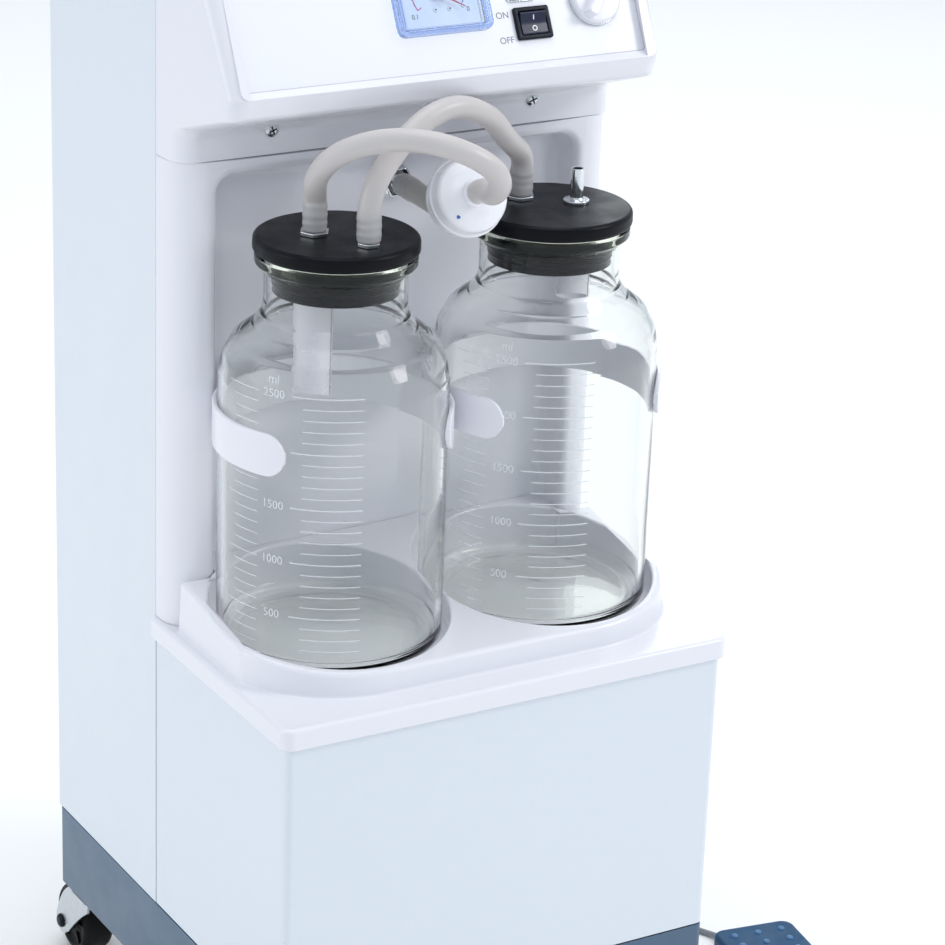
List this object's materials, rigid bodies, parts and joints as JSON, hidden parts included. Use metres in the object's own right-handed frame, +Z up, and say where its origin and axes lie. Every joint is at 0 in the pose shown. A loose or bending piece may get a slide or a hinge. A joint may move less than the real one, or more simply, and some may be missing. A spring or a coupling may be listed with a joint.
{
  "type": "suction pump",
  "caption": "Wheeled vacuum aspirator: steel cabinet, sloping control console, glass collection jars in a tray, silicone hoses, filter and a foot switch on a cable.",
  "frame": {"origin": "on the floor, under the middle of the cabinet and foot switch taken together", "axes": "+Z up, +Y to the back of the cabinet, +X to its right-hand side as its front is faced, where the foot switch lies"},
  "size_m": [0.4704, 0.478, 0.8689],
  "materials": {
    "light_blue_paint": "satin powder coat",
    "white_abs": "satin",
    "blue_grey_paint": "satin powder coat",
    "zinc": "zinc plated",
    "jar_glass": "clear",
    "black_rubber": "matt",
    "silicone": "milky translucent",
    "chrome": "polished",
    "guard_plastic": "translucent",
    "lens_blue": "clear, light blue",
    "black_plastic": "satin",
    "needle_red": "satin",
    "brass": "machined",
    "motor_metal": "painted",
    "aluminium": "cast",
    "wheel_black": "satin",
    "steel_blue": "satin",
    "dark_blue_plastic": "satin",
    "cable_grey": "satin pvc"
  },
  "bodies": {
    "cabinet": {"base_pan": "zinc", "skirt": "blue_grey_paint", "side_panel_left": "light_blue_paint", "side_panel_right": "light_blue_paint", "lower_box": "light_blue_paint", "rear_panel": "light_blue_paint", "mains_inlet": "black_plastic", "tray": "white_abs", "front_moulding": "white_abs", "console_moulding": "white_abs", "console_screw_left": "chrome", "console_screw_right": "chrome", "top_cap": "white_abs", "push_handle": "white_abs", "jar_left": "jar_glass", "jar_right": "jar_glass", "stopper_left": "black_rubber", "stopper_right": "black_rubber", "jar_clip_left": "white_abs", "jar_clip_right": "white_abs", "nipple_left_rear": "chrome", "nipple_left_front": "chrome", "nipple_right": "chrome", "patient_port": "chrome", "guard_tube_left": "guard_plastic", "guard_tube_right": "guard_plastic", "filter": "white_abs", "hose_to_filter": "silicone", "hose_link": "silicone", "hose_wall": "silicone", "wall_nipple": "chrome", "face_plate": "white_abs", "gauge_body": "white_abs", "gauge_lens": "lens_blue", "switch_frame": "black_plastic", "regulator_valve": "brass", "pump_motor": "motor_metal", "pump_head": "aluminium", "pump_cradle": "zinc", "capacitor": "aluminium", "foot_base": "dark_blue_plastic", "foot_hinge_pin": "zinc", "foot_gland": "black_plastic", "cable_gland": "black_plastic", "foot_cable_rear": "cable_grey", "foot_cable_floor": "cable_grey", "foot_cable_coil": "cable_grey"},
    "knob": {"regulator_knob": "white_abs"},
    "rocker": {"switch_rocker": "black_plastic"},
    "needle": {"gauge_needle": "needle_red"},
    "pedal": {"foot_pedal": "steel_blue"},
    "swivel_rear_left": {"caster_fork_rear_left": "zinc"},
    "wheel_rear_left": {"caster_wheel_rear_left": "wheel_black"},
    "swivel_rear_right": {"caster_fork_rear_right": "zinc"},
    "wheel_rear_right": {"caster_wheel_rear_right": "wheel_black"},
    "swivel_front_left": {"caster_fork_front_left": "zinc"},
    "wheel_front_left": {"caster_wheel_front_left": "wheel_black"},
    "swivel_front_right": {"caster_fork_front_right": "zinc"},
    "wheel_front_right": {"caster_wheel_front_right": "wheel_black"}
  },
  "joints": [
    {"name": "swivel_rear_left", "type": "hinge", "parent": "cabinet", "child": "swivel_rear_left", "pos_m": [-0.20872, 0.1355, 0.0603], "axis": [0, 0, 1], "continuous": true},
    {"name": "spin_rear_left", "type": "hinge", "parent": "swivel_rear_left", "child": "wheel_rear_left", "pos_m": [-0.20872, 0.1655, 0.025], "axis": [1, 0, 0], "continuous": true},
    {"name": "swivel_rear_right", "type": "hinge", "parent": "cabinet", "child": "swivel_rear_right", "pos_m": [0.05728, 0.1355, 0.0603], "axis": [0, 0, 1], "continuous": true},
    {"name": "spin_rear_right", "type": "hinge", "parent": "swivel_rear_right", "child": "wheel_rear_right", "pos_m": [0.05728, 0.1655, 0.025], "axis": [1, 0, 0], "continuous": true},
    {"name": "swivel_front_left", "type": "hinge", "parent": "cabinet", "child": "swivel_front_left", "pos_m": [-0.20872, -0.1525, 0.0603], "axis": [0, 0, 1], "continuous": true},
    {"name": "spin_front_left", "type": "hinge", "parent": "swivel_front_left", "child": "wheel_front_left", "pos_m": [-0.20872, -0.1225, 0.025], "axis": [1, 0, 0], "continuous": true},
    {"name": "swivel_front_right", "type": "hinge", "parent": "cabinet", "child": "swivel_front_right", "pos_m": [0.05728, -0.1525, 0.0603], "axis": [0, 0, 1], "continuous": true},
    {"name": "spin_front_right", "type": "hinge", "parent": "swivel_front_right", "child": "wheel_front_right", "pos_m": [0.05728, -0.1225, 0.025], "axis": [1, 0, 0], "continuous": true},
    {"name": "regulator_turn", "type": "hinge", "parent": "cabinet", "child": "knob", "pos_m": [0.03368, -0.07618, 0.72784], "axis": [0, -0.887, 0.4617], "range_deg": [-150, 150]},
    {"name": "switch_rock", "type": "hinge", "parent": "cabinet", "child": "rocker", "pos_m": [-0.01302, -0.07449, 0.71377], "axis": [1, 0, 0], "range_deg": [-14, 0]},
    {"name": "gauge_swing", "type": "hinge", "parent": "cabinet", "child": "needle", "pos_m": [-0.07451, -0.0659, 0.73568], "axis": [0, -0.887, 0.4617], "range_deg": [0, 240]},
    {"name": "pedal_press", "type": "hinge", "parent": "cabinet", "child": "pedal", "pos_m": [0.2035, -0.08542, 0.009], "axis": [0.9877, -0.1564, 0], "range_deg": [0, 4], "stiffness_Nm_per_rad": 0.25, "springref_deg": -14.32}
  ]
}
